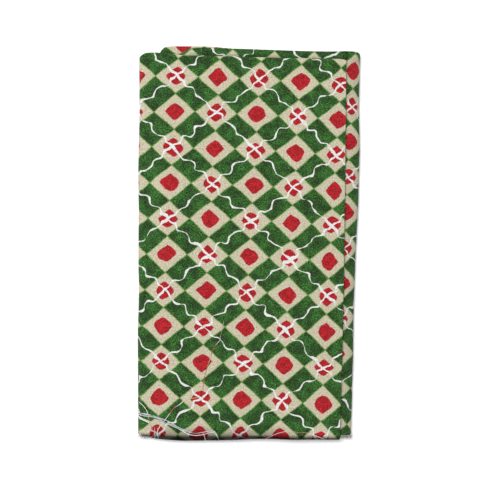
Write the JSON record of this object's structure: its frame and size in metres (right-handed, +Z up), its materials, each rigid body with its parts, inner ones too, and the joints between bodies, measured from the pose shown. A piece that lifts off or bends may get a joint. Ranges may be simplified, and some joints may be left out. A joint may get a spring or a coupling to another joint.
{
  "type": "folded quilting cotton fat quarter",
  "caption": "Oblong bundle of printed quilting cotton, folded in half and rolled flat, with a front flap that stops short of a rounded fold down one side.",
  "frame": {"origin": "middle of the bundle's footprint, on the surface it lies on", "axes": "+X towards the rounded fold beside the flap, +Y along the long side towards the first fold, +Z up"},
  "size_m": [0.1454, 0.2562, 0.0117],
  "materials": {
    "printed_cotton": "matte plain weave, printed green and cream diamond check with red dots and fine white wavy lines"
  },
  "bodies": {
    "root": {"folded_cloth": "printed_cotton"}
  },
  "joints": []
}
